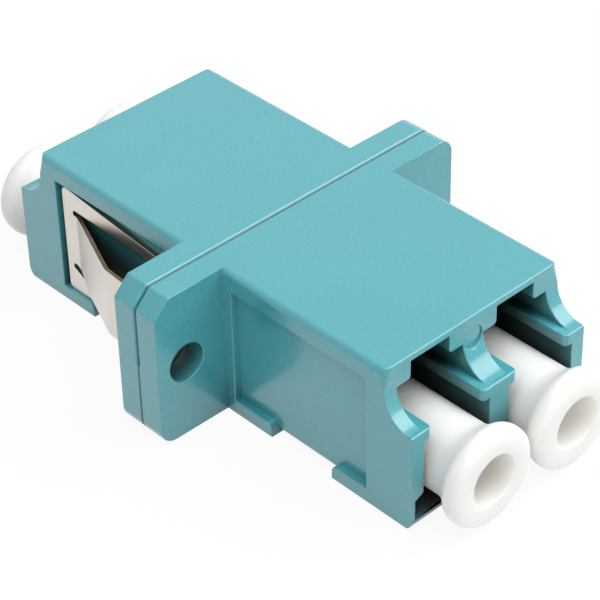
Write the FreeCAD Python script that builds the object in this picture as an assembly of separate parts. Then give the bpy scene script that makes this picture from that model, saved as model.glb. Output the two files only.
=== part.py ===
import FreeCAD, Part
import math
import os

# Duplex LC fibre adapter: two moulded housing halves welded at a mounting flange, a
# split alignment sleeve for each fibre, a folded spring clip for a panel cut-out, and
# a dust cap in each of the four ports.
#
# Millimetres.  X runs across the two mounting ears, Y along the fibres with the front
# end at -Y, and Z is up.  The origin is on the underside, in the plane where the two
# halves meet, midway between the ears.

Vec = FreeCAD.Vector
ALONG_X = Vec(1, 0, 0)
ALONG_Y = Vec(0, 1, 0)
ALONG_Z = Vec(0, 0, 1)

# ---- Driving dimensions ------------------------------------------------------------

# Ports
port_pitch = 6.25         # between the two fibre axes
port_width = 4.75
port_height = 4.8         # floor to the underside of the latch ledges
latch_slot = 3.7          # gap between a port's two ledges
latch_room = 2.75         # ledges to the underside of the roof
foot_relief = 0.6         # how far the mouth widens each side beside the floor
foot_height = 1.2
foot_shoulder = 0.25
foot_depth = 2.6          # how far the widened foot runs in from the mouth

# Walls of a housing half
side_wall = 0.9
floor_thickness = 0.75
ledge_thickness = 0.7
roof_thickness = 0.4
web_thickness = 1.2       # cross wall at the joint plane
roof_reach = 13.5         # joint plane to the front edge of the roof
ledge_overhang = 1.95     # how far the walls and ledges run on past the roof
ledge_length = 8.0
ledge_tip_round = 0.3
scoop_radius = 1.8        # hollow curve from the roof's edge down to the ledges
pin_mark_radius = 0.65    # ejector pin's mark on the middle wall's end
pin_mark_depth = 0.1
pin_mark_drop = 1.4       # top of the roof to the mark's centre
toe_round = 0.7           # lower front corner, seen from the side
roof_edge_round = 0.35
roof_corner_round = 0.6   # the roof's corners in plan; it fades out down to the scoop
heel_edge_round = 0.15    # lower long edges
crisp_round = 0.12

# Latch tabs that hang from the roof at each side of a port
tab_width = 1.0
tab_height = 1.1
tab_length = 0.9
tab_round = 0.25          # lower inner corner

# Mounting flange
flange_thickness = 1.6    # one half's share
ear_reach = 4.6           # body side to the end of an ear
hole_inset = 2.0          # hole centre to the end of an ear
hole_radius = 1.15
ear_corner_round = 1.0
key_chamfer = 1.0         # flat corner that shows which way up the ports are
seam_chamfer = 0.15       # half of the V groove along the weld, upper half of the flange
seam_hairline = 0.03      # the same in the lower half, where the weld has filled it

# Side recesses and the waist where the clip sits
recess_depth = 0.45
ridge_height = 1.2        # solid band left above a recess
flange_rib = 0.7          # solid band left beside the flange
end_border = 1.3          # solid band left at the front end
nub_height = 0.95
near_nub_length = 2.8
far_nub_length = 2.55
nub_end_round = 0.4
waist_rise = 0.35         # how far the underside steps up between the nubs
waist_edge_round = 0.35

# Sleeve holders and split sleeves
holder_radius = 1.45
holder_reach = 6.0        # joint plane to the holder's mouth
ferrule_bore_radius = 0.68
holder_mouth_flare = 0.3
sleeve_length = 6.8
sleeve_bore_radius = 0.624
sleeve_wall = 0.19
sleeve_slit = 0.3
sleeve_clearance = 0.05   # radial, in the holder
sleeve_end_clearance = 0.05

# Spring clip
sheet_thickness = 0.25
sheet_clearance = 0.03    # between the sheet and the housing
fold_radius = 0.3         # inside radius of the two folds under the body
arm_front_gap = 0.3       # between the arm and the rib beside the flange
arm_end_gap = 0.35
arm_top_gap = 0.15
arm_top_fall = 1.0        # how much lower the arm's top edge is beside the flange
arm_corner_round = 0.4
web_side_gap = 0.08       # between the clip's web and the nubs
top_strip_height = 1.3    # band above the tongue, at its hinge
top_strip_front = 0.45    # the same band beside the flange
bottom_strip_height = 0.65
front_bar_width = 0.5
slit_width = 0.35
hinge_inset = 0.85        # tongue's hinge to the arm's end
low_slit_rise = 0.95      # how far the lower slit climbs towards the hinge
low_slit_run = 1.6
tongue_flat = 0.3         # flat stretch before the tongue bends out
tongue_angle = 23.0
tongue_rise_length = 5.2
tongue_tip_length = 2.2
tongue_tip_angle = 4.0
tongue_bend_radius = 0.8
tongue_tip_round = 0.35

# Dust caps
cap_tube_radius = 2.16
cap_bore_clearance = 0.05  # radial, over the sleeve holder
cap_engagement = 2.0       # how far the cap slips over the holder
cap_bore_depth = 6.8
cap_diaphragm = 1.4
cap_lead_in = 0.25
cap_neck = 0.85            # tube that shows between the ledges and the rim
cap_rim_radius = 2.9
cap_rim_flare = 0.85
cap_rim_land = 0.65        # widest stretch
cap_rim_chamfer = 0.25
cap_hole_radius = 1.5
rear_cap_stand_off = 0.5   # how much further out the rear caps are left than the front ones

# ---- Values that follow from them --------------------------------------------------

body_width = port_pitch + port_width + 2 * side_wall
body_half = body_width / 2
port_top = floor_thickness + port_height
ledge_top = port_top + ledge_thickness
roof_under = ledge_top + latch_room
body_height = roof_under + roof_thickness
port_axis_height = floor_thickness + port_height / 2
ledge_reach = roof_reach + ledge_overhang
ear_half = body_half + ear_reach
hole_x = ear_half - hole_inset

recess_near = flange_thickness + flange_rib
recess_far = roof_reach - end_border
recess_top = body_height - ridge_height
waist_near = recess_near + near_nub_length
waist_far = recess_far - far_nub_length
recess_half = body_half - recess_depth

cap_bore_radius = holder_radius + cap_bore_clearance
cap_inner_end = holder_reach - cap_engagement
cap_rim_back = ledge_reach + cap_neck
cap_face = cap_rim_back + cap_rim_flare + cap_rim_land + cap_rim_chamfer

past = 1.0                # how far cutting solids run past the surfaces they cut


# ---- Shared shapes -----------------------------------------------------------------

def box(x_range, y_range, z_range):
    """A block between two values along each axis."""
    low = Vec(x_range[0], y_range[0], z_range[0])
    high = Vec(x_range[1], y_range[1], z_range[1])
    size = high - low
    return Part.makeBox(size.x, size.y, size.z, low)


def corner_arc(before, corner, after, radius):
    """Start, middle and end of the arc that rounds one corner of an outline."""
    back = (before - corner).normalize()
    on = (after - corner).normalize()
    half_angle = back.getAngle(on) / 2
    bisector = (back + on).normalize()
    centre = corner + bisector * (radius / math.sin(half_angle))
    run = radius / math.tan(half_angle)
    return corner + back * run, centre - bisector * radius, corner + on * run


def rounded_wire(corners, place):
    """Closed wire through (u, v, radius) corners, with place turning (u, v) into a point."""
    points = [place(u, v) for u, v, radius in corners]
    edges = []
    starts = []
    ends = []
    for i, (u, v, radius) in enumerate(corners):
        if radius > 0:
            start, middle, end = corner_arc(points[i - 1], points[i], points[(i + 1) % len(points)], radius)
            edges.append(Part.Arc(start, middle, end).toShape())
        else:
            start = end = points[i]
        starts.append(start)
        ends.append(end)
    for i, end in enumerate(ends):
        start = starts[(i + 1) % len(starts)]
        if end.distanceToPoint(start) > 1e-6:
            edges.append(Part.LineSegment(end, start).toShape())
    return Part.Wire(Part.__sortEdges__(edges))


def side_prism(corners, x_from, x_to):
    """An outline of (distance from the joint plane, height, radius), run along X."""
    wire = rounded_wire(corners, lambda reach, z: Vec(x_from, -reach, z))
    return Part.Face(wire).extrude(ALONG_X * (x_to - x_from))


def section_prism(corners, y_from, y_to):
    """An outline of (x, height, radius), run along Y."""
    wire = rounded_wire(corners, lambda x, z: Vec(x, y_from, z))
    return Part.Face(wire).extrude(ALONG_Y * (y_to - y_from))


def plan_prism(corners, z_from, z_to):
    """An outline of (x, y, radius), run upwards."""
    wire = rounded_wire(corners, lambda x, y: Vec(x, y, z_from))
    return Part.Face(wire).extrude(ALONG_Z * (z_to - z_from))


def turned(profile, x, z):
    """A profile of (distance from the joint plane, radius, corner radius), turned about a fibre axis."""
    wire = rounded_wire(profile, lambda reach, r: Vec(x + r, -reach, z))
    return Part.Face(wire).revolve(Vec(x, 0, z), ALONG_Y, 360)


def rod(x, z, radius, near, far):
    """A round bar along a fibre axis, between two distances from the joint plane."""
    return Part.makeCylinder(radius, far - near, Vec(x, -far, z), ALONG_Y)


def fused(first, *others):
    return first.fuse(list(others)).removeSplitter()


def to_rear(shape):
    """The same shape at the rear end of the adapter."""
    return shape.mirror(Vec(0, 0, 0), ALONG_Y)


def to_other_side(shape):
    return shape.mirror(Vec(0, 0, 0), ALONG_X)


# ---- Housing half ------------------------------------------------------------------

def roof_corner_cut():
    """What rounds the roof's corner at +X in plan, less and less down to the scoop."""
    point = Vec(body_half, -roof_reach, ledge_top + scoop_radius)
    rise = body_height - point.z + past
    radius = roof_corner_round * rise / (rise - past)
    inside = (body_half - radius, -roof_reach + radius)
    outside = (body_half + past, -roof_reach - past)
    outline = rounded_wire([
        (inside[0], outside[1], 0),
        (inside[0], -roof_reach, 0),
        (body_half, -roof_reach, radius),
        (body_half, inside[1], 0),
        (outside[0], inside[1], 0),
        (outside[0], outside[1], 0),
    ], lambda x, y: Vec(x, y, point.z + rise))
    return Part.makeLoft([Part.Vertex(point), outline], True, True)


def outer_block():
    """The half's outside: flat roof, walls with scooped ends, rounded long edges."""
    corner = roof_corner_cut()
    from_side = side_prism([
        (seam_chamfer, 0, 0),
        (ledge_reach, 0, toe_round),
        (ledge_reach, ledge_top, crisp_round),
        (roof_reach, ledge_top, scoop_radius),
        (roof_reach, body_height, crisp_round),
        (seam_chamfer, body_height, 0),
    ], -body_half, body_half)
    from_front = section_prism([
        (-body_half, 0, heel_edge_round),
        (body_half, 0, heel_edge_round),
        (body_half, body_height, roof_edge_round),
        (-body_half, body_height, roof_edge_round),
    ], -ledge_reach - past, past)
    return from_side.common(from_front).cut([corner, to_other_side(corner)])


def seam_grooved(plate, chamfer):
    """The plate with half of a V groove all round its edge at the joint plane."""
    seam = [e for e in plate.Edges if abs(e.BoundBox.YMin) < 1e-6 and e.BoundBox.YLength < 1e-6]
    return plate.makeChamfer(chamfer, seam)


def flange_plate():
    """One half of the mounting flange, with its half of the seam groove."""
    plate = section_prism([
        (-ear_half, 0, ear_corner_round),
        (ear_half, 0, ear_corner_round),
        (ear_half, body_height, ear_corner_round),
        (-ear_half + key_chamfer, body_height, 0),
        (-ear_half, body_height - key_chamfer, 0),
    ], -flange_thickness, 0)
    middle = body_height / 2
    depth = (-flange_thickness - past, past)
    upper = seam_grooved(plate, seam_chamfer)
    lower = seam_grooved(plate, seam_hairline)
    upper = upper.common(box((-ear_half - past, ear_half + past), depth, (middle, body_height + past)))
    lower = lower.common(box((-ear_half - past, ear_half + past), depth, (-past, middle)))
    return fused(upper, lower)


def flange_holes():
    """The two screw holes through the ears."""
    height = body_height / 2
    return [rod(x, height, hole_radius, -past, flange_thickness + past) for x in (-hole_x, hole_x)]


def side_recess(side):
    """The shallow pocket in one side, open downwards between the two nubs."""
    pocket = side_prism([
        (recess_near, recess_top, 0),
        (recess_near, nub_height, 0),
        (waist_near, nub_height, nub_end_round),
        (waist_near, -past, 0),
        (waist_far, -past, 0),
        (waist_far, nub_height, nub_end_round),
        (recess_far, nub_height, 0),
        (recess_far, recess_top, 0),
    ], recess_half, body_half + past)
    return pocket if side > 0 else to_other_side(pocket)


def waist_band():
    """What is taken from the underside between the nubs, where the clip wraps round."""
    around = box((-body_half - past, body_half + past), (-waist_far, -waist_near), (-past, nub_height))
    kept = section_prism([
        (-recess_half, waist_rise, waist_edge_round),
        (recess_half, waist_rise, waist_edge_round),
        (recess_half, body_height, 0),
        (-recess_half, body_height, 0),
    ], -waist_far - past, -waist_near + past)
    return around.cut(kept)


def latch_tabs(x):
    """The two catches that hang from the roof in one port's mouth."""
    low = roof_under - tab_height
    high = roof_under + roof_thickness / 2
    tabs = []
    for side in (-1, 1):
        wall = x + side * port_width / 2
        inner = wall - side * tab_width
        outline = [(wall, low, 0), (inner, low, tab_round), (inner, high, 0), (wall, high, 0)]
        tabs.append(section_prism(outline, -roof_reach, -roof_reach + tab_length))
    return tabs


def foot_space(x):
    """The wider part of a port's mouth, beside its floor."""
    narrow = port_width / 2
    wide = narrow + foot_relief
    step = floor_thickness + foot_height
    return section_prism([
        (x - wide, floor_thickness, 0),
        (x + wide, floor_thickness, 0),
        (x + wide, step, 0),
        (x + narrow, step + foot_shoulder, 0),
        (x - narrow, step + foot_shoulder, 0),
        (x - wide, step, 0),
    ], -ledge_reach - past, -ledge_reach + foot_depth)


def slot_space(x):
    """The gap between a port's ledges, with the ledges' tips rounded in plan."""
    half = latch_slot / 2
    mouth = half + 2 * ledge_tip_round
    front = -ledge_reach
    return plan_prism([
        (x - half, -web_thickness, 0),
        (x + half, -web_thickness, 0),
        (x + half, front, ledge_tip_round),
        (x + mouth, front, 0),
        (x + mouth, front - past, 0),
        (x - mouth, front - past, 0),
        (x - mouth, front, 0),
        (x - half, front, ledge_tip_round),
    ], port_top - crisp_round, ledge_top + crisp_round)


def port_space(x):
    """Everything hollow in one port."""
    half = port_width / 2
    width = (x - half, x + half)
    mouth = -ledge_reach - past
    plug = box(width, (mouth, -web_thickness), (floor_thickness, port_top))
    latch = box(width, (mouth, -web_thickness), (ledge_top, roof_under))
    behind = box(width, (-ledge_reach + ledge_length, -web_thickness), (port_top - past, roof_under))
    latch = latch.cut(latch_tabs(x))
    return fused(plug, latch, behind, slot_space(x), foot_space(x))


def pin_mark():
    """The round mark of an ejector pin, sunk in the scooped end of the middle wall."""
    height = body_height - pin_mark_drop
    return rod(0, height, pin_mark_radius, roof_reach - pin_mark_depth, ledge_reach + past)


def sleeve_holder(x):
    """The tube that carries one end of a split sleeve."""
    return rod(x, port_axis_height, holder_radius, web_thickness / 2, holder_reach)


def sleeve_pocket(x):
    """The stepped bore inside a holder: wide for the sleeve, narrow for the ferrule."""
    pocket_radius = sleeve_bore_radius + sleeve_wall + sleeve_clearance
    pocket_end = sleeve_length / 2 + sleeve_end_clearance
    mouth_radius = ferrule_bore_radius + holder_mouth_flare
    return turned([
        (-past, 0, 0),
        (-past, pocket_radius, 0),
        (pocket_end, pocket_radius, 0),
        (pocket_end, ferrule_bore_radius, 0),
        (holder_reach - holder_mouth_flare, ferrule_bore_radius, 0),
        (holder_reach, mouth_radius, 0),
        (holder_reach + past, mouth_radius, 0),
        (holder_reach + past, 0, 0),
    ], x, port_axis_height)


def housing_half():
    """One moulded half, at the front end."""
    fibres = (-port_pitch / 2, port_pitch / 2)
    half = fused(outer_block(), flange_plate())
    outside_cuts = [side_recess(1), side_recess(-1), waist_band(), pin_mark()]
    half = half.cut(outside_cuts + flange_holes())
    half = half.cut([port_space(x) for x in fibres])
    half = fused(half, *[sleeve_holder(x) for x in fibres])
    return half.cut([sleeve_pocket(x) for x in fibres]).removeSplitter()


# ---- Split sleeve ------------------------------------------------------------------

def split_sleeve(x):
    """A slit tube that lines up the two ferrules on one fibre axis."""
    end = sleeve_length / 2
    outer = rod(x, port_axis_height, sleeve_bore_radius + sleeve_wall, -end, end)
    bore = rod(x, port_axis_height, sleeve_bore_radius, -end - past, end + past)
    slit = box((x - sleeve_slit / 2, x + sleeve_slit / 2), (-end - past, end + past),
               (port_axis_height, port_axis_height + sleeve_bore_radius + sleeve_wall + past))
    return outer.cut([bore, slit])


# ---- Spring clip -------------------------------------------------------------------

arm_inside = recess_half + sheet_clearance
arm_outside = arm_inside + sheet_thickness
web_upper = waist_rise - sheet_clearance
web_lower = web_upper - sheet_thickness
arm_front = recess_near + arm_front_gap
arm_end = recess_far - arm_end_gap
arm_bottom = nub_height + sheet_clearance
arm_top = recess_top - arm_top_gap
arm_top_front = arm_top - arm_top_fall
hinge_reach = arm_end - hinge_inset
tongue_top = arm_top - top_strip_height - slit_width
tongue_bottom = arm_bottom + bottom_strip_height + slit_width


def clip_saddle():
    """The folded sheet before its arms are trimmed: a U that wraps the waist."""
    outer = section_prism([
        (-arm_outside, web_lower, fold_radius + sheet_thickness),
        (arm_outside, web_lower, fold_radius + sheet_thickness),
        (arm_outside, arm_top, 0),
        (-arm_outside, arm_top, 0),
    ], -arm_end, -arm_front)
    inner = section_prism([
        (-arm_inside, web_upper, fold_radius),
        (arm_inside, web_upper, fold_radius),
        (arm_inside, arm_top + past, 0),
        (-arm_inside, arm_top + past, 0),
    ], -arm_end - past, -arm_front + past)
    return outer.cut(inner)


def arm_outline():
    """Side view of the arms and the web below them."""
    web_near = waist_near + web_side_gap
    web_far = waist_far - web_side_gap
    return side_prism([
        (web_near, web_lower - past, 0),
        (web_near, arm_bottom, 0),
        (arm_front, arm_bottom, arm_corner_round),
        (arm_front, arm_top_front, arm_corner_round),
        (arm_end, arm_top, arm_corner_round),
        (arm_end, arm_bottom, arm_corner_round),
        (web_far, arm_bottom, 0),
        (web_far, web_lower - past, 0),
    ], -arm_outside - past, arm_outside + past)


def arm_window():
    """The opening left in both arms when the tongues are cut and bent out."""
    inside_front = arm_front + front_bar_width
    slit_round = slit_width / 2 - 0.01
    low_edge = tongue_bottom - slit_width
    return side_prism([
        (hinge_reach, tongue_top + slit_width, slit_round),
        (inside_front, arm_top_front - top_strip_front, arm_corner_round / 2),
        (inside_front, low_edge, arm_corner_round / 2),
        (hinge_reach - low_slit_run, low_edge, 0),
        (hinge_reach + slit_width, low_edge + low_slit_rise, slit_round),
        (hinge_reach + slit_width, tongue_bottom + low_slit_rise, slit_round),
        (hinge_reach, tongue_bottom + low_slit_rise, 0),
        (hinge_reach, tongue_top, 0),
    ], -arm_outside - past, arm_outside + past)


def bent_strip(path, thickness):
    """Plan outline of a sheet that lies on the left of a path of (x, y, bend radius)."""
    points = [Vec(x, y, 0) for x, y, radius in path]
    ways = [(b - a).normalize() for a, b in zip(points, points[1:])]
    normals = [Vec(-way.y, way.x, 0) for way in ways]
    near = [(points[0].x, points[0].y, 0)]
    start = points[0] + normals[0] * thickness
    far = [(start.x, start.y, 0)]
    for i in range(1, len(points) - 1):
        radius = path[i][2]
        turns_left = ways[i - 1].cross(ways[i]).z > 0
        reach = (normals[i - 1] + normals[i]) * (thickness / (1 + normals[i - 1].dot(normals[i])))
        offset = points[i] + reach
        near.append((points[i].x, points[i].y, radius + thickness if turns_left else radius))
        far.append((offset.x, offset.y, radius if turns_left else radius + thickness))
    end = points[-1] + normals[-1] * thickness
    near.append((points[-1].x, points[-1].y, 0))
    far.append((end.x, end.y, 0))
    return near + far[::-1]


def clip_tongue():
    """The spring tongue of the arm on the +X side, at the front end."""
    lean = math.radians(tongue_angle)
    tip_lean = math.radians(tongue_tip_angle)
    bend = Vec(arm_outside, -hinge_reach + tongue_flat, 0)
    knee = bend + Vec(math.sin(lean), math.cos(lean), 0) * tongue_rise_length
    tip = knee + Vec(math.sin(tip_lean), math.cos(tip_lean), 0) * tongue_tip_length
    sheet = plan_prism(bent_strip([
        (arm_outside, -hinge_reach - slit_width, 0),
        (bend.x, bend.y, tongue_bend_radius),
        (knee.x, knee.y, tongue_bend_radius),
        (tip.x, tip.y, 0),
    ], sheet_thickness), tongue_bottom, tongue_top)
    free_end = -tip.y
    outline = side_prism([
        (hinge_reach + slit_width, tongue_top, 0),
        (hinge_reach + slit_width, tongue_bottom + low_slit_rise + slit_width, 0),
        (hinge_reach, tongue_bottom + low_slit_rise, 0),
        (hinge_reach - low_slit_run, tongue_bottom, 0),
        (free_end, tongue_bottom, tongue_tip_round),
        (free_end, tongue_top, tongue_tip_round),
    ], arm_inside - past, knee.x + past)
    return sheet.common(outline)


def panel_clip():
    """The spring clip, one folded sheet, in its place on the rear half."""
    saddle = clip_saddle().common(arm_outline()).cut(arm_window())
    tongue = clip_tongue()
    return to_rear(fused(saddle, tongue, to_other_side(tongue)))


# ---- Dust cap ----------------------------------------------------------------------

def dust_cap(x):
    """A soft cap in a front port: a tube over the sleeve holder and a flared rim."""
    hole_end = cap_inner_end + cap_bore_depth + cap_diaphragm
    land_start = cap_rim_back + cap_rim_flare
    return turned([
        (hole_end, 0, 0),
        (hole_end, cap_hole_radius, 0),
        (cap_face, cap_hole_radius, 0),
        (cap_face, cap_rim_radius - cap_rim_chamfer, 0),
        (land_start + cap_rim_land, cap_rim_radius, 0),
        (land_start, cap_rim_radius, 0),
        (cap_rim_back, cap_tube_radius, 0),
        (cap_inner_end + cap_lead_in, cap_tube_radius, 0),
        (cap_inner_end, cap_tube_radius - cap_lead_in, 0),
        (cap_inner_end, cap_bore_radius, 0),
        (cap_inner_end + cap_bore_depth, cap_bore_radius, 0),
        (cap_inner_end + cap_bore_depth, 0, 0),
    ], x, port_axis_height)


# ---- All the pieces ----------------------------------------------------------------

def all_pieces():
    """Every separate piece by name, in its place."""
    left = -port_pitch / 2
    right = port_pitch / 2
    front_half = housing_half()
    pulled = ALONG_Y * rear_cap_stand_off
    return {
        "front_housing": front_half,
        "rear_housing": to_rear(front_half),
        "sleeve_left": split_sleeve(left),
        "sleeve_right": split_sleeve(right),
        "panel_clip": panel_clip(),
        "front_cap_left": dust_cap(left),
        "front_cap_right": dust_cap(right),
        "rear_cap_left": to_rear(dust_cap(left)).translated(pulled),
        "rear_cap_right": to_rear(dust_cap(right)).translated(pulled),
    }


os.makedirs("parts", exist_ok=True)
for name, shape in all_pieces().items():
    shape.exportStep("parts/" + name + ".step")
    print(f"{name}: {len(shape.Solids)} solid, {shape.Volume:.2f} mm3, valid {shape.isValid()}")
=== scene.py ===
# %% [markdown]
# # A duplex fibre adapter
#
# This lesson dresses a small part: two moulded housing halves welded at a flange, a
# stainless clip folded round one of them, and a white dust cap in each of the four
# ports.  The construction comes from CAD and stays where it is.  What Blender adds is
# the softness of the moulded edges, the finish of each material and the light.
#
# Every new piece is tied to the body that carries it, so that a cap's finish leaves the
# port with the cap.

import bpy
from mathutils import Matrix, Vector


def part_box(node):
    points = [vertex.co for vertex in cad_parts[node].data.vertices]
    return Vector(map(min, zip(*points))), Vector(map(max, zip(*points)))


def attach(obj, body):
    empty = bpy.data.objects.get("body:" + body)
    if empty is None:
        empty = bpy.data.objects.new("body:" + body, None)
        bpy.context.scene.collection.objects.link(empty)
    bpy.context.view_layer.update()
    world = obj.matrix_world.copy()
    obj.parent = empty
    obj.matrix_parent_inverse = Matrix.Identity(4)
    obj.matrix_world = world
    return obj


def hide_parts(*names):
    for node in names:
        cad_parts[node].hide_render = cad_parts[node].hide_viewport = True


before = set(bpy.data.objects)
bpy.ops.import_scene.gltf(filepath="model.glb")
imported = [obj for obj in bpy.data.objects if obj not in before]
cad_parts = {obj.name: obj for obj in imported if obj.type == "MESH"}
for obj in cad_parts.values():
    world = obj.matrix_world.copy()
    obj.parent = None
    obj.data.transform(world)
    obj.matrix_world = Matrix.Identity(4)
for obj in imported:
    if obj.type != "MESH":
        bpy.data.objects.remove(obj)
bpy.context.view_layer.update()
print("nodes:", ", ".join(sorted(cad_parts)))

# %% Blender's own modules, and a millimetre
import math

import bpy
from mathutils import Matrix, Vector

MM = 0.001

# %% [markdown]
# ## Looking at the part
#
# A long lens from the front left, well above the table, shows the roof, one ear and
# the open mouths at once.  A camera could be moved about by hand until it looks right.
# Here it is placed by its direction and its distance from a point inside the part, so
# that each turn of it is one number that can be changed by itself.

# %% The camera
VIEW_AZIMUTH = math.radians(-42.77)
VIEW_ELEVATION = math.radians(37.55)
VIEW_ROLL = math.radians(-1.42)
VIEW_DISTANCE = 128.7 * MM
VIEW_CENTRE = Vector((-0.055, -0.733, 3.451)) * MM
LENS = 140.73
NEAREST_SEEN = 5 * MM
FARTHEST_SEEN = 5

towards_camera = Vector((
    math.sin(VIEW_AZIMUTH) * math.cos(VIEW_ELEVATION),
    -math.cos(VIEW_AZIMUTH) * math.cos(VIEW_ELEVATION),
    math.sin(VIEW_ELEVATION),
))
bpy.ops.object.camera_add(location=VIEW_CENTRE + towards_camera * VIEW_DISTANCE)
camera = bpy.context.object
camera.rotation_mode = "QUATERNION"
level = (-towards_camera).to_track_quat("-Z", "Y")
camera.rotation_quaternion = level @ Matrix.Rotation(VIEW_ROLL, 3, "Z").to_quaternion()
camera.data.lens = LENS
camera.data.clip_start = NEAREST_SEEN
camera.data.clip_end = FARTHEST_SEEN
bpy.context.scene.camera = camera
bpy.context.scene.view_settings.view_transform = "Standard"
print("camera at", [round(value / MM, 1) for value in camera.location], "mm")

# %% [markdown]
# ## Sums on sockets
#
# A material is a graph of nodes, and most of the nodes only do sums.  Written out one
# by one they hide the idea, so a small class wraps a socket and lets Python's own
# signs add the Math nodes.  Every other node comes from its one method, `node`.

# %% The class for shader sums
class Wire:
    """The output of a shader node.  Sums on it add Math nodes to its material."""

    def __init__(self, tree, socket=None):
        self.tree = tree
        self.socket = socket

    def node(self, kind, settings=None, sockets=None, output=0):
        """Adds a node: its settings first, then a value or a wire for each socket."""
        made = self.tree.nodes.new(kind)
        for name, value in (settings or {}).items():
            setattr(made, name, value)
        for name, value in (sockets or {}).items():
            if isinstance(value, Wire):
                self.tree.links.new(value.socket, made.inputs[name])
            else:
                made.inputs[name].default_value = value
        return Wire(self.tree, made.outputs[output])

    def sum(self, operation, first, second):
        return self.node("ShaderNodeMath", {"operation": operation}, {0: first, 1: second})

    def __add__(self, other):
        return self.sum("ADD", self, other)

    def __radd__(self, other):
        return self.sum("ADD", other, self)

    def __rsub__(self, other):
        return self.sum("SUBTRACT", other, self)

    def __mul__(self, other):
        return self.sum("MULTIPLY", self, other)

    def __rmul__(self, other):
        return self.sum("MULTIPLY", other, self)

    def __gt__(self, other):
        return self.sum("GREATER_THAN", self, other)


print("sums on wires are ready")

# %% Helpers that every finish uses
def start_material(name):
    """A new material, and a wire that carries places on the object."""
    material = bpy.data.materials.new(name)
    material.use_nodes = True
    start = Wire(material.node_tree)
    return material, start.node("ShaderNodeTexCoord", output="Object")


def noise(place, feature, detail=2.0, stretch=None):
    """Soft random values from 0 to 1, whose blobs are about `feature` metres across."""
    if stretch is not None:
        place = place.node("ShaderNodeMapping", None, {"Vector": place, "Scale": stretch})
    sockets = {"Vector": place, "Scale": 1 / feature, "Detail": detail}
    return place.node("ShaderNodeTexNoise", None, sockets)


def mix_colours(amount, first, second):
    """From the first colour, where the amount is 0, to the second, where it is 1."""
    # A Mix node has sockets for each kind of value: 6 and 7 are its two colours.
    sockets = {0: amount, 6: first, 7: second}
    return amount.node("ShaderNodeMix", {"data_type": "RGBA"}, sockets, 2)


def bump(height, depth):
    """Surface relief from a height of 0 to 1, `depth` metres deep at most."""
    return height.node("ShaderNodeBump", None, {"Height": height, "Distance": depth})


def set_surface(material, sockets):
    """Sets sockets of the material's surface shader to plain values or to wires."""
    shader = material.node_tree.nodes["Principled BSDF"]
    for name, value in sockets.items():
        if isinstance(value, Wire):
            material.node_tree.links.new(value.socket, shader.inputs[name])
        else:
            shader.inputs[name].default_value = value
    print("finish:", material.name, "with", len(material.node_tree.nodes), "nodes")


print("helpers for finishes are ready")

# %% [markdown]
# ## The aqua plastic
#
# The housing is injection moulded from an aqua polymer.  A polished mould leaves a
# glossy skin, and the pigment is never spread quite evenly.  One plain colour would look
# like paint, and an image of plastic would have to be wrapped round the part.  So two
# noises mix the tint where it is needed: a slow drift, and a mottle a seventh of a
# millimetre across, which dulls the skin a little as well.
#
# Two things darken the tint.  Light that finds its way into a port behind its cap
# hardly comes out again, so the deepest pockets get painted shade: an Ambient Occlusion
# node measures how open each place is within a few millimetres, and only the deepest
# pockets are painted darker by it.  And the weld of the two halves has left a dull line
# in the groove at the joint plane.

# %% What darkens the aqua: painted shade in the pockets, and the weld line
PAINTED_SHADE_REACH = 7.5 * MM
FULL_PAINTED_SHADE_BELOW = 0.17
NO_PAINTED_SHADE_ABOVE = 0.36
WELD_REACH = 0.09 * MM


def openness_for_painted_shade(place):
    """The mask of painted shade: 0 deep inside a pocket, 1 where the surface is open to the
    room.
    """
    sockets = {"Distance": PAINTED_SHADE_REACH}
    share = place.node("ShaderNodeAmbientOcclusion", {"samples": 6}, sockets, "AO")
    sockets = {"Value": share, "From Min": FULL_PAINTED_SHADE_BELOW, "From Max": NO_PAINTED_SHADE_ABOVE}
    return place.node("ShaderNodeMapRange", {"interpolation_type": "SMOOTHSTEP"}, sockets)


def weld_line(place):
    """1 in the groove at the joint plane, and 0 everywhere else."""
    along = place.node("ShaderNodeSeparateXYZ", None, {"Vector": place}, "Y")
    return 1 - (along.sum("ABSOLUTE", along, 0.0) > WELD_REACH)


print("pockets are measured over", PAINTED_SHADE_REACH / MM, "mm")

# %% The finish of the housing
AQUA = (0.036, 0.288, 0.333, 1)
AQUA_PALE = (0.098, 0.445, 0.495, 1)
# The near black of the painted shade deep in the pockets.
AQUA_PAINTED_SHADE = (0.018, 0.018, 0.018, 1)
DRIFT_SIZE = 5 * MM
MOTTLE_SIZE = 0.14 * MM
MOTTLE_SHARE = 0.75
WELD_DARKNESS = 0.5


def make_aqua_plastic():
    material, place = start_material("aqua_plastic")
    drift = noise(place, DRIFT_SIZE)
    mottle = noise(place, MOTTLE_SIZE, detail=3.0)
    pigment = (1 - MOTTLE_SHARE) * drift + MOTTLE_SHARE * mottle
    tint = mix_colours(pigment, AQUA, AQUA_PALE)
    weld = weld_line(place)
    # Painted shade: deep in the pockets the base colour turns near black and the coat fades;
    # the weld's dull line darkens it too.
    clear = openness_for_painted_shade(place) * (1 - WELD_DARKNESS * weld)
    set_surface(material, {
        "Base Color": mix_colours(clear, AQUA_PAINTED_SHADE, tint),
        "Roughness": 0.25 + 0.1 * mottle + 0.4 * weld,
        "Coat Weight": 0.8 * clear,
        "Coat Roughness": 0.12,
    })
    return material


aqua_plastic = make_aqua_plastic()

# %% [markdown]
# ## The white caps
#
# The caps are soft polyethylene.  It is milky: light goes a little way in and comes
# out again, which takes the hardness out of the shading.  A plain white surface would
# have grey, chalky shadows, so the shader scatters the light below the skin instead.
# The skin is duller than the housing's: a fine grain bends the light, and the thin coat
# over it is rough too.

# %% The finish of the dust caps
MILK_WHITE = (0.995, 0.945, 0.89, 1)
MILK_SHADE = (0.98, 0.925, 0.865, 1)
CLOUD_SIZE = 1.5 * MM
GRAIN_SIZE = 0.07 * MM
GRAIN_DEPTH = 0.003 * MM
SCATTER_DEPTH = 1.4 * MM


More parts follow.
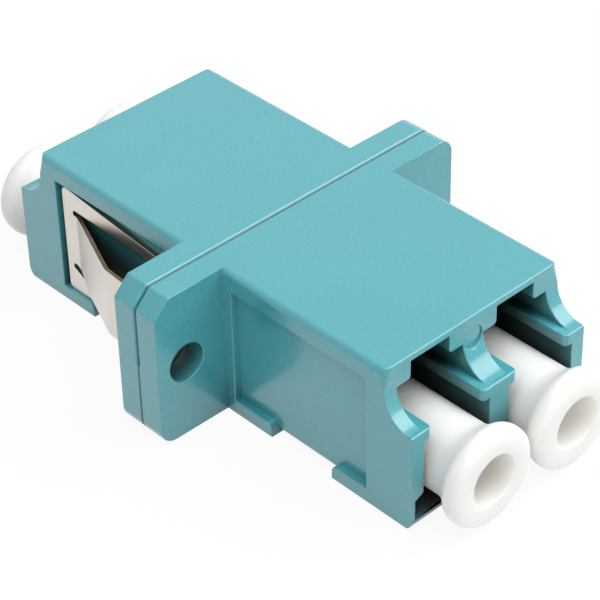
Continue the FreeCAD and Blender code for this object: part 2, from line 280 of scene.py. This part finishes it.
def make_cap_plastic():
    material, place = start_material("cap_plastic")
    cloud = noise(place, CLOUD_SIZE)
    grain = noise(place, GRAIN_SIZE)
    set_surface(material, {
        "Base Color": mix_colours(cloud, MILK_WHITE, MILK_SHADE),
        "Roughness": 0.42 + 0.12 * cloud,
        "Normal": bump(grain, GRAIN_DEPTH),
        "Coat Weight": 0.5,
        "Coat Roughness": 0.35,
        "Subsurface Weight": 1.0,
        "Subsurface Radius": (1.2, 1.1, 1.0),
        "Subsurface Scale": SCATTER_DEPTH,
    })
    return material


cap_plastic = make_cap_plastic()

# %% [markdown]
# ## The spring steel
#
# The clip is stamped from rolled stainless strip.  Rolling leaves fine lines along
# the sheet.  A shader can stretch its highlights without any lines, but close by the
# lines themselves should show, so the noise is stretched twenty-fold along the fibre
# direction and bends the light a little.  Where the press cut the sheet, the edge is
# torn and slightly scorched, so the cut faces get a browner finish of their own.

# %% The finishes of the clip
STEEL = (0.74, 0.695, 0.645, 1)
STEEL_DULL = (0.64, 0.6, 0.555, 1)
CUT_EDGE = (0.34, 0.24, 0.14, 1)
CUT_EDGE_DARK = (0.15, 0.1, 0.06, 1)
ROLLING_LINE = 0.05 * MM
ROLLING_STRETCH = (1, 0.05, 1)
ROLLING_DEPTH = 0.002 * MM


def make_spring_steel(name, bright, dull, roughness):
    material, place = start_material(name)
    lines = noise(place, ROLLING_LINE, stretch=ROLLING_STRETCH)
    patches = noise(place, CLOUD_SIZE)
    set_surface(material, {
        "Base Color": mix_colours(0.5 * lines + 0.5 * patches, bright, dull),
        "Metallic": 1.0,
        "Roughness": roughness + 0.1 * patches,
        "Normal": bump(lines, ROLLING_DEPTH),
    })
    return material


spring_steel = make_spring_steel("spring_steel", STEEL, STEEL_DULL, 0.27)
cut_steel = make_spring_steel("spring_steel_cut_edge", CUT_EDGE, CUT_EDGE_DARK, 0.4)

# %% [markdown]
# ## The ceramic sleeves
#
# They are hidden inside the sleeve holders.  They still get their own finish, as the
# housing may be opened by someone who uses the part: ground zirconia, off-white, hard
# and glossy.  The wheel has left rings round the sleeve, so here the noise is squeezed
# along the fibre direction rather than stretched.

# %% The finish of the sleeves
ZIRCONIA = (0.85, 0.84, 0.8, 1)
ZIRCONIA_SHADE = (0.78, 0.77, 0.73, 1)
GRINDING_STRETCH = (1, 8, 1)


def make_sleeve_ceramic():
    material, place = start_material("sleeve_ceramic")
    rings = noise(place, MOTTLE_SIZE, stretch=GRINDING_STRETCH)
    set_surface(material, {
        "Base Color": mix_colours(rings, ZIRCONIA, ZIRCONIA_SHADE),
        "Roughness": 0.12 + 0.08 * rings,
        "Coat Weight": 0.6,
    })
    return material


sleeve_ceramic = make_sleeve_ceramic()

# %% [markdown]
# ## From CAD solid to moulded piece
#
# A CAD mesh is loose triangles with knife-sharp edges, and its own mesh may not be
# changed.  The housing could be modelled again by hand, but it would drift away from the
# solids.  So a copy is merged, its flat faces are put together again, and a Bevel
# modifier rounds the outer edges.  Inner corners stay sharp, as the parting of the
# mould leaves them.
#
# Where an edge turns smoothly, as round an ear, it is a chain of short edges, and two
# widths in one chain would tear the bevel open.  So each chain carries one weight: the
# full width where it has room, and less where a step is finer than that.  Operators
# stop telling points apart at about a micrometre, so the copy is worked on a thousand
# times too large and shrunk at the end.

# %% A merged copy of a CAD node
ENLARGED = 1000
MERGE_DISTANCE = 0.0005
FLAT = math.radians(0.6)


def pick(piece):
    """Deselects everything else and makes this piece the active one."""
    bpy.ops.object.select_all(action="DESELECT")
    piece.select_set(True)
    bpy.context.view_layer.objects.active = piece


def copy_node(node, name):
    """An enlarged, merged copy of a CAD node, with its flat faces whole again."""
    piece = bpy.data.objects.new(name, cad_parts[node].data.copy())
    bpy.context.scene.collection.objects.link(piece)
    piece.data.transform(Matrix.Scale(ENLARGED, 4))
    piece.data.materials.clear()
    pick(piece)
    bpy.ops.mesh.customdata_custom_splitnormals_clear()
    bpy.ops.object.mode_set(mode="EDIT")
    bpy.ops.mesh.select_all(action="SELECT")
    bpy.ops.mesh.remove_doubles(threshold=MERGE_DISTANCE)
    bpy.ops.mesh.dissolve_limited(angle_limit=FLAT)
    bpy.ops.object.mode_set(mode="OBJECT")
    return piece


print("nodes can be copied")

# %% The outer edges of a piece
SHARP = math.radians(22)


def outer_edges(mesh):
    """Indices of the edges where two faces meet at a sharp ridge, and not in a corner."""
    faces_at = {}
    for face in mesh.polygons:
        for key in face.edge_keys:
            faces_at.setdefault(key, []).append(face)
    ridges = []
    for edge in mesh.edges:
        first, second = faces_at[edge.key]
        if first.normal.angle(second.normal) < SHARP:
            continue
        loop = list(first.vertices)
        start, end = edge.vertices
        if loop[(loop.index(start) + 1) % len(loop)] != end:
            start, end = end, start
        way = mesh.vertices[end].co - mesh.vertices[start].co
        if first.normal.cross(second.normal).dot(way) > 0:
            ridges.append(edge.index)
    return ridges


print("an edge is sharp from", round(math.degrees(SHARP)), "degrees")

# %% One bevel weight for each chain of edges
RUNS_ON = -0.75
ROOM_SHARE = 0.45


def weigh_edges(piece, width):
    """Gives each chain of outer edges its share of the bevel's width."""
    mesh = piece.data
    ridges = outer_edges(mesh)
    ridges_at = {}
    for index in ridges:
        for vertex in mesh.edges[index].vertices:
            ridges_at.setdefault(vertex, []).append(index)
    chain = {index: index for index in ridges}
    room = dict.fromkeys(ridges, math.inf)

    def head(index):
        while chain[index] != index:
            index = chain[index]
        return index

    for here, meeting in ridges_at.items():
        arms = {}
        for index in meeting:
            there = sum(mesh.edges[index].vertices) - here
            arms[index] = mesh.vertices[there].co - mesh.vertices[here].co
        for index in meeting:
            for other in meeting:
                if other == index:
                    continue
                cosine = arms[index].normalized().dot(arms[other].normalized())
                if cosine < RUNS_ON:
                    chain[head(index)] = head(other)
                else:
                    sideways = arms[other].length * math.sqrt(max(0, 1 - cosine ** 2))
                    room[index] = min(room[index], sideways)
    least = {}
    for index in ridges:
        least[head(index)] = min(least.get(head(index), math.inf), room[index])
    weights = mesh.attributes.new("bevel_weight_edge", "FLOAT", "EDGE").data
    for index in ridges:
        weights[index].value = min(1, ROOM_SHARE * least[head(index)] / width)
    print(piece.name, "has", len(ridges), "outer edges in", len(least), "chains")


print("edges can be weighed")

# %% Rounding the edges, and handing a piece over
SMOOTH_BELOW = math.radians(40)


def smooth_faces(piece):
    """Smooth shading over the roundings, while the flat faces stay flat to the eye."""
    bpy.ops.object.shade_smooth_by_angle(angle=SMOOTH_BELOW)
    weighted = piece.modifiers.new("flat faces stay flat", "WEIGHTED_NORMAL")
    weighted.keep_sharp = True
    bpy.ops.object.modifier_apply(modifier=weighted.name)


def round_edges(piece, width, segments):
    """Rounds the outer edges of a copied node, in millimetres."""
    weigh_edges(piece, width)
    pick(piece)
    bevel = piece.modifiers.new("rounded edges", "BEVEL")
    bevel.width = width
    bevel.segments = segments
    bevel.limit_method = "WEIGHT"
    bevel.use_clamp_overlap = False
    bevel.loop_slide = False
    bpy.ops.object.modifier_apply(modifier=bevel.name)
    smooth_faces(piece)


def finish_piece(piece, material, body, nodes):
    """Shrinks a piece to its real size and hands it to the body that carries it."""
    piece.data.transform(Matrix.Scale(1 / ENLARGED, 4))
    piece.data.materials.append(material)
    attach(piece, body)
    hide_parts(*nodes)
    print(piece.name, "has", len(piece.data.polygons), "faces")


print("pieces can be rounded and handed over")

# %% The two housing halves
HOUSING_EDGE = 0.06

for side in ("front", "rear"):
    half = copy_node(side + "_housing", side + "_half")
    round_edges(half, HOUSING_EDGE, segments=3)
    finish_piece(half, aqua_plastic, "adapter", [side + "_housing"])

# %% [markdown]
# ## The spring clip
#
# The clip is one sheet, folded to a U under the housing, with a tongue cut out of each
# arm and bent outwards.  It gets the same roundings as the housing, only finer, because
# a press leaves an almost sharp edge.  The browner finish could be painted on by hand,
# but a cut face can be told by its normal: on an arm it looks up, down or along the
# fibres, while both faces of the sheet look sideways.  Down at the folds and under the
# part the sheet's own faces look up and down, so there only the ends count as cut.

# %% Which faces the press has cut
FOLD_TOP = 0.9
SIDEWAYS = 0.35
ENDWAYS = 0.9


def is_cut(face):
    """Whether the press cut this face: it looks neither out of the sheet nor out of a fold."""
    on_edge = abs(face.normal.x) < SIDEWAYS
    return on_edge and (face.center.z > FOLD_TOP or abs(face.normal.y) > ENDWAYS)


print("above", FOLD_TOP, "mm the sheet stands upright")

# %% The clip
CLIP_EDGE = 0.03

clip = copy_node("panel_clip", "clip_sheet")
round_edges(clip, CLIP_EDGE, segments=2)
cut_faces = [face.index for face in clip.data.polygons if is_cut(face)]
finish_piece(clip, spring_steel, "adapter", ["panel_clip"])
clip.data.materials.append(cut_steel)
for index in cut_faces:
    clip.data.polygons[index].material_index = 1
print(len(cut_faces), "faces of the clip are cut edges")

# %% [markdown]
# ## A dust cap
#
# A cap is round about the fibre axis.  It could be spun from an outline, but its steps
# are few, and a cylinder that is pushed and pulled shows each of them.  The cylinder is
# the tube that slips over the sleeve holder.  Its outer end is extruded and widened into
# the rim, narrowed to the mouth of the hole, and pushed back in.  The other end gets its
# bore in the same way.  Then each ring of edges is bevelled by its own radius: wide at
# the soft neck and round the rim, small at the hole.

# %% Helpers that turn a cap
CAP_SIDES = 96
CLOSE = 0.001


def grow_end(axis, radius_now, step, radius):
    """Extrudes the selected end along Y and brings it to a new radius about the axis."""
    bpy.ops.mesh.extrude_region_move(TRANSFORM_OT_translate={"value": (0, step, 0)})
    scale = radius / radius_now
    bpy.ops.transform.resize(value=(scale, 1, scale), center_override=axis)
    return radius


def select_ring(piece, axis, y, radius):
    """Selects the circle of edges at one place along the axis and one radius."""
    bpy.ops.object.mode_set(mode="EDIT")
    bpy.ops.mesh.select_mode(type="EDGE")
    bpy.ops.mesh.select_all(action="DESELECT")
    bpy.ops.object.mode_set(mode="OBJECT")
    mesh = piece.data
    on_ring = set()
    for vertex in mesh.vertices:
        reach = math.hypot(vertex.co.x - axis[0], vertex.co.z - axis[2])
        if abs(vertex.co.y - y) < CLOSE and abs(reach - radius) < CLOSE:
            on_ring.add(vertex.index)
    for edge in mesh.edges:
        edge.select = set(edge.vertices) <= on_ring
    bpy.ops.object.mode_set(mode="EDIT")


def select_end(piece, y):
    """Selects the one flat face that closes the piece at this place."""
    bpy.ops.object.mode_set(mode="EDIT")
    bpy.ops.mesh.select_mode(type="FACE")
    bpy.ops.mesh.select_all(action="DESELECT")
    bpy.ops.object.mode_set(mode="OBJECT")
    for face in piece.data.polygons:
        face.select = abs(face.center.y - y) < CLOSE and abs(face.normal.y) > ENDWAYS
    bpy.ops.object.mode_set(mode="EDIT")


print("caps can be turned")

# %% A cap, from its tube to its rings
CAP_TUBE_RADIUS = 2.16
CAP_NECK_TO_FACE = 1.75
CAP_FLARE = 0.85
CAP_HOLE_RADIUS = 1.5
CAP_HOLE_DRAFT = 0.1
CAP_HOLE_DEPTH = 5.85
CAP_BORE_RADIUS = 1.5
CAP_BORE_DEPTH = 6.8
RING_SEGMENTS = 5


def turn_cap(node, name):
    """A dust cap in the place of its CAD node, with its rim away from the joint plane."""
    low, high = [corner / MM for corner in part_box(node)]
    outwards = math.copysign(1, low.y + high.y)
    face = low.y if outwards < 0 else high.y
    inner = high.y if outwards < 0 else low.y
    rim_radius = (high.x - low.x) / 2
    neck = face - outwards * CAP_NECK_TO_FACE
    axis = Vector(((low.x + high.x) / 2, (neck + inner) / 2, (low.z + high.z) / 2))
    bpy.ops.object.select_all(action="DESELECT")
    bpy.ops.mesh.primitive_cylinder_add(
        vertices=CAP_SIDES, radius=CAP_TUBE_RADIUS, depth=abs(neck - inner),
        location=axis, rotation=(math.radians(90), 0, 0))
    cap = bpy.context.object
    cap.name = name
    bpy.ops.object.transform_apply(location=True, rotation=True, scale=True)
    select_end(cap, neck)
    radius = grow_end(axis, CAP_TUBE_RADIUS, outwards * CAP_FLARE, rim_radius)
    radius = grow_end(axis, radius, outwards * (CAP_NECK_TO_FACE - CAP_FLARE), rim_radius)
    radius = grow_end(axis, radius, 0, CAP_HOLE_RADIUS)
    grow_end(axis, radius, -outwards * CAP_HOLE_DEPTH, CAP_HOLE_RADIUS - CAP_HOLE_DRAFT)
    select_end(cap, inner)
    radius = grow_end(axis, CAP_TUBE_RADIUS, 0, CAP_BORE_RADIUS)
    grow_end(axis, radius, outwards * CAP_BORE_DEPTH, CAP_BORE_RADIUS)
    rings = [
        (neck, CAP_TUBE_RADIUS, 0.5),
        (neck + outwards * CAP_FLARE, rim_radius, 0.22),
        (face, rim_radius, 0.43),
        (face, CAP_HOLE_RADIUS, 0.08),
        (inner, CAP_TUBE_RADIUS, 0.25),
        (inner, CAP_BORE_RADIUS, 0.1),
    ]
    for y, ring_radius, width in rings:
        select_ring(cap, axis, y, ring_radius)
        bpy.ops.mesh.bevel(offset=width, segments=RING_SEGMENTS, affect="EDGES")
    bpy.ops.object.mode_set(mode="OBJECT")
    smooth_faces(cap)
    return cap


print("a cap's tube is", 2 * CAP_TUBE_RADIUS, "mm across")

# %% The four dust caps
for end in ("front", "rear"):
    for side in ("left", "right"):
        node = f"{end}_cap_{side}"
        cap = turn_cap(node, f"{end}_{side}_dust_cap")
        finish_piece(cap, cap_plastic, f"{end}_{side}_cap", [node])

# %% [markdown]
# ## The sleeves
#
# A split sleeve is a ground tube with one slit.  Its edges are as sharp as they are in
# CAD, so a rounded copy would gain nothing, and the CAD pieces only get their finish.

# %% The sleeves keep their CAD shape
for side in ("left", "right"):
    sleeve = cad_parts["sleeve_" + side]
    sleeve.data.materials.clear()
    sleeve.data.materials.append(sleeve_ceramic)
print("sleeves are ceramic")

# %% [markdown]
# ## Table and light
#
# The adapter lies on a white table in a white room.  Lamps that are strong enough to
# turn a table white would wash out the caps.  So the Light Path node tells the rays
# apart: those from the camera or off a gloss find the table and the room white, and for
# all others the table is plain paper and the room is dim.  The steel needs this as well,
# since metal shows little but what it mirrors.
#
# The light itself comes from two large square lamps at a plain level: a key from the
# right, which draws the highlights on the edges, and a fill from overhead, which keeps
# the shadow under the part soft.

# %% Which rays find everything white
def looked_at(wire):
    """1 for rays from the camera or off a gloss, and 0 for those that only carry light."""
    rays = wire.node("ShaderNodeLightPath").socket.node.outputs
    from_camera = Wire(wire.tree, rays["Is Camera Ray"])
    off_gloss = Wire(wire.tree, rays["Is Glossy Ray"])
    return wire.sum("MAXIMUM", from_camera, off_gloss)


print("rays can be told apart")

# %% The table
TABLE_SIDE = 1.2
TABLE_GAP = 0.01 * MM
PAPER = (0.9, 0.9, 0.9, 1)
WHITE = (1, 1, 1, 1)
TABLE_GLOW = 0.92

# The gap keeps the table's face and the part's underside out of one plane.
bpy.ops.object.select_all(action="DESELECT")
bpy.ops.mesh.primitive_plane_add(size=TABLE_SIDE, location=(0, 0, -TABLE_GAP))
table = bpy.context.object
table.name = "table"
white, place = start_material("white_table")
paper = place.node("ShaderNodeBsdfDiffuse", None, {"Color": PAPER})
glow = place.node("ShaderNodeEmission", None, {"Color": WHITE, "Strength": 1.0})
sockets = {0: TABLE_GLOW * looked_at(place), 1: paper, 2: glow}
surface = place.node("ShaderNodeMixShader", None, sockets)
white.node_tree.links.new(surface.socket, white.node_tree.nodes["Material Output"].inputs[0])
table.data.materials.append(white)
print("the table is", TABLE_SIDE, "m square")

# %% The room
ROOM_LIGHT = 0.14

world = bpy.data.worlds.new("room")
bpy.context.scene.world = world
world.use_nodes = True
strength = ROOM_LIGHT + (1 - ROOM_LIGHT) * looked_at(Wire(world.node_tree))
background = world.node_tree.nodes["Background"]
background.inputs["Color"].default_value = WHITE
world.node_tree.links.new(strength.socket, background.inputs["Strength"])
print("the room lights the part at", ROOM_LIGHT)

# %% The lamps
LAMP_DISTANCE = 0.5


def add_softbox(name, direction, side, power):
    """A square lamp that faces the part from this direction."""
    direction = Vector(direction).normalized()
    bpy.ops.object.light_add(type="AREA", location=direction * LAMP_DISTANCE)
    lamp = bpy.context.object
    lamp.name = name
    lamp.rotation_mode = "QUATERNION"
    lamp.rotation_quaternion = direction.to_track_quat("Z", "Y")
    lamp.data.size = side
    lamp.data.energy = power
    print(name, "gives", power, "W")


add_softbox("key_softbox", direction=(0.62, -0.35, 0.7), side=0.4, power=1.88)
add_softbox("fill_softbox", direction=(-0.2, -0.22, 0.95), side=0.45, power=1.98)
